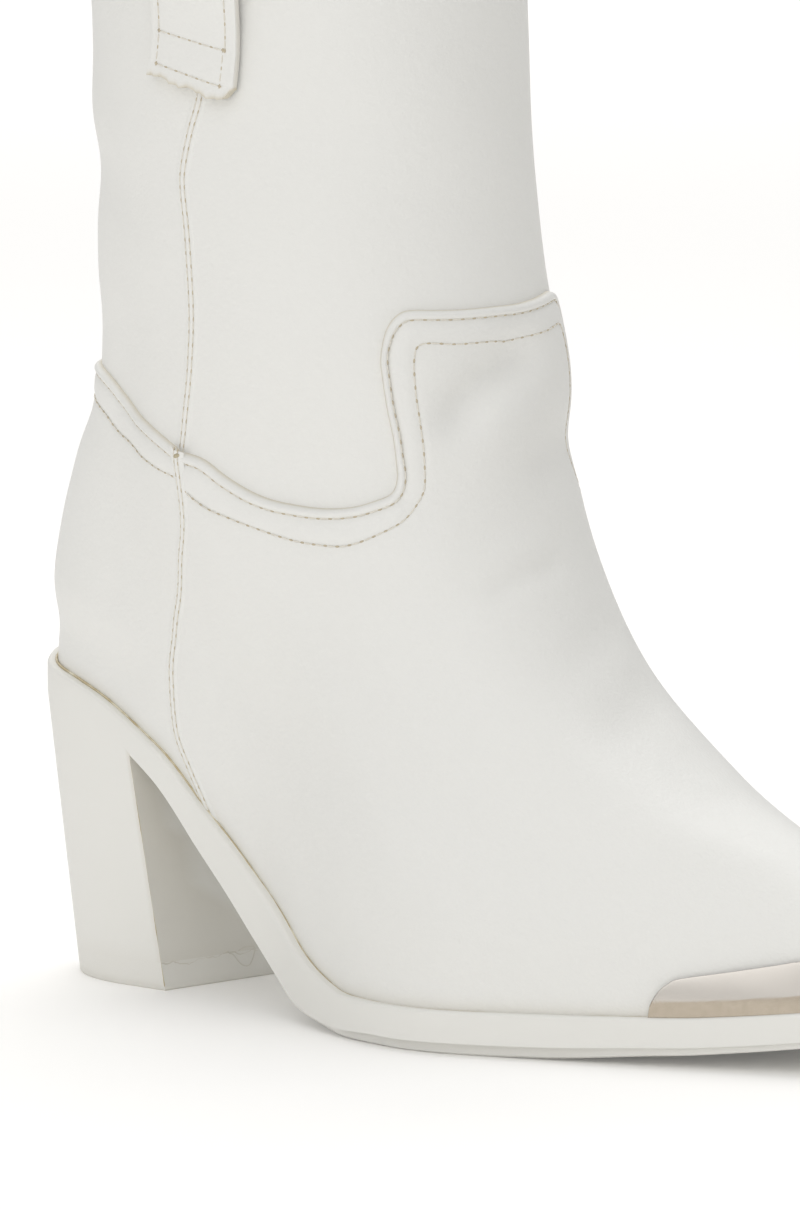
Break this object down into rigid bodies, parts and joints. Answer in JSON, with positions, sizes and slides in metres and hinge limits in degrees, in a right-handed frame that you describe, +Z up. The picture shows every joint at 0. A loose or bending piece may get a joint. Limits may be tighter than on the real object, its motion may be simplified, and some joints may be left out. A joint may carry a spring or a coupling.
{
  "type": "western ankle boot",
  "caption": "Right-foot western ankle boot with a pointed metal-tipped toe, block heel, foot overlay and pull straps at the collar.",
  "frame": {"origin": "centre of the heel's tread on the floor", "axes": "+X to the toe, +Y to the inner side of the foot, +Z up"},
  "size_m": [0.2465, 0.0978, 0.2711],
  "materials": {
    "upper_leather": "satin",
    "strap_leather": "satin",
    "sole_rubber": "satin",
    "top_piece_rubber": "matte",
    "insole_board": "matte",
    "toe_metal": "polished"
  },
  "bodies": {
    "root": {"unit_sole": "sole_rubber", "heel_top_piece": "top_piece_rubber", "insole": "insole_board", "upper": "upper_leather", "counter": "upper_leather", "vamp": "upper_leather", "toe_cap": "toe_metal", "pull_strap_outer": "strap_leather", "pull_strap_inner": "strap_leather"}
  },
  "joints": []
}
